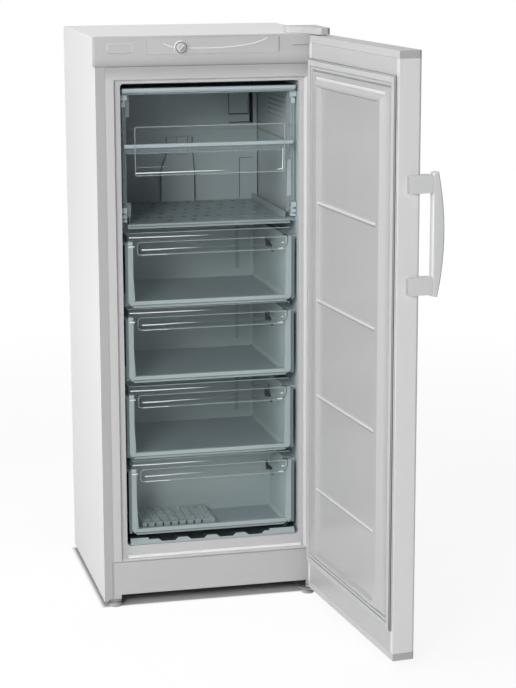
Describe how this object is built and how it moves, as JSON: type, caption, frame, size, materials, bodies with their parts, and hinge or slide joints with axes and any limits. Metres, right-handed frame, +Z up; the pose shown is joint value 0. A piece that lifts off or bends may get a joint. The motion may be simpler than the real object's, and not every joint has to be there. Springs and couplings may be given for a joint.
{
  "type": "upright freezer",
  "caption": "Tall white upright freezer with a side-hinged insulated door, bow handle, control fascia, flap compartment, shelves and pull-out drawers.",
  "frame": {"origin": "centre of the sole of the front left levelling foot, on the floor", "axes": "+Z up, +Y from the front of the cabinet to its back, +X to the right for someone who stands in front of it"},
  "size_m": [0.7178, 1.1829, 1.5173],
  "materials": {
    "enamelled_steel": "gloss white enamel",
    "white_plastic": "satin white moulding",
    "liner_plastic": "smooth white vacuum-formed sheet",
    "frosted_plastic": "translucent blue-grey moulding",
    "clear_plastic": "clear smoke-grey moulding",
    "grey_plastic": "satin",
    "black_plastic": "satin",
    "gasket_rubber": "matt light grey",
    "black_rubber": "matt",
    "zinc_steel": "zinc-plated",
    "black_paint": "black enamel",
    "copper": "drawn copper",
    "aluminium": "mill finish",
    "foam": "rigid foam, cut"
  },
  "bodies": {
    "cabinet": {"outer_case": "enamelled_steel", "rear_panel": "zinc_steel", "insulation_foam": "foam", "inner_liner": "liner_plastic", "control_fascia": "white_plastic", "fascia_insert": "white_plastic", "thermostat": "grey_plastic", "plinth": "white_plastic", "base_frame": "zinc_steel", "rear_foot_left": "black_plastic", "rear_foot_right": "black_plastic", "top_hinge_bracket": "zinc_steel", "top_hinge_cover": "white_plastic", "bottom_hinge_bracket": "zinc_steel", "compressor": "black_paint", "compressor_mount_left": "black_rubber", "compressor_mount_right": "black_rubber", "terminal_box": "black_plastic", "filter_dryer": "copper", "refrigerant_lines": "copper", "condenser": "black_paint", "condenser_brackets": "black_plastic", "evaporation_tray": "black_plastic", "drain_tube": "grey_plastic", "evaporator": "aluminium", "evaporator_cover": "frosted_plastic", "fan_motor": "black_plastic", "ceiling_air_duct": "frosted_plastic", "side_rail_left": "frosted_plastic", "side_rail_right": "frosted_plastic", "shelf_1": "frosted_plastic", "shelf_1_trim": "frosted_plastic", "shelf_2": "frosted_plastic", "floor_vent": "frosted_plastic"},
    "door": {"door_skin": "enamelled_steel", "door_cap_top": "white_plastic", "door_cap_bottom": "white_plastic", "door_foam": "foam", "door_liner": "liner_plastic", "door_gasket": "gasket_rubber", "handle_bow": "white_plastic", "handle_foot_upper": "white_plastic", "handle_foot_lower": "white_plastic", "hinge_bush_top": "grey_plastic", "hinge_bush_bottom": "grey_plastic"},
    "flap": {"shelf_flap": "clear_plastic"},
    "knob": {"thermostat_knob": "white_plastic"},
    "fan": {"evaporator_fan": "black_plastic"},
    "left_foot": {"foot_left": "grey_plastic"},
    "right_foot": {"foot_right": "grey_plastic"},
    "drawer_1": {"drawer_1_tub": "frosted_plastic", "drawer_1_front": "clear_plastic"},
    "drawer_2": {"drawer_2_tub": "frosted_plastic", "drawer_2_front": "clear_plastic"},
    "drawer_3": {"drawer_3_tub": "frosted_plastic", "drawer_3_front": "clear_plastic"},
    "drawer_4": {"drawer_4_tub": "frosted_plastic", "drawer_4_front": "clear_plastic", "ice_tray": "frosted_plastic"}
  },
  "joints": [
    {"name": "door_hinge", "type": "hinge", "parent": "cabinet", "child": "door", "pos_m": [0.556, -0.047, 0.76], "axis": [0, 0, 1], "range_deg": [-95, 25]},
    {"name": "flap_hinge", "type": "hinge", "parent": "cabinet", "child": "flap", "pos_m": [0.271, 0.037, 1.263], "axis": [-1, 0, 0], "range_deg": [0, 85]},
    {"name": "knob_turn", "type": "hinge", "parent": "cabinet", "child": "knob", "pos_m": [0.193, -0.005, 1.471], "axis": [0, -1, 0], "range_deg": [-150, 150]},
    {"name": "fan_spin", "type": "hinge", "parent": "cabinet", "child": "fan", "pos_m": [0.271, 0.447, 1.318], "axis": [0, -1, 0], "continuous": true},
    {"name": "left_foot_turn", "type": "hinge", "parent": "cabinet", "child": "left_foot", "pos_m": [0, 0, 0.008], "axis": [0, 0, 1], "continuous": true},
    {"name": "right_foot_turn", "type": "hinge", "parent": "cabinet", "child": "right_foot", "pos_m": [0.525, -0.02, 0.008], "axis": [0, 0, 1], "continuous": true},
    {"name": "drawer_1_slide", "type": "slide", "parent": "cabinet", "child": "drawer_1", "axis": [0, -1, 0], "range_m": [0, 0.3]},
    {"name": "drawer_2_slide", "type": "slide", "parent": "cabinet", "child": "drawer_2", "axis": [0, -1, 0], "range_m": [0, 0.3]},
    {"name": "drawer_3_slide", "type": "slide", "parent": "cabinet", "child": "drawer_3", "axis": [0, -1, 0], "range_m": [0, 0.3]},
    {"name": "drawer_4_slide", "type": "slide", "parent": "cabinet", "child": "drawer_4", "axis": [0, -1, 0], "range_m": [0, 0.14]}
  ]
}
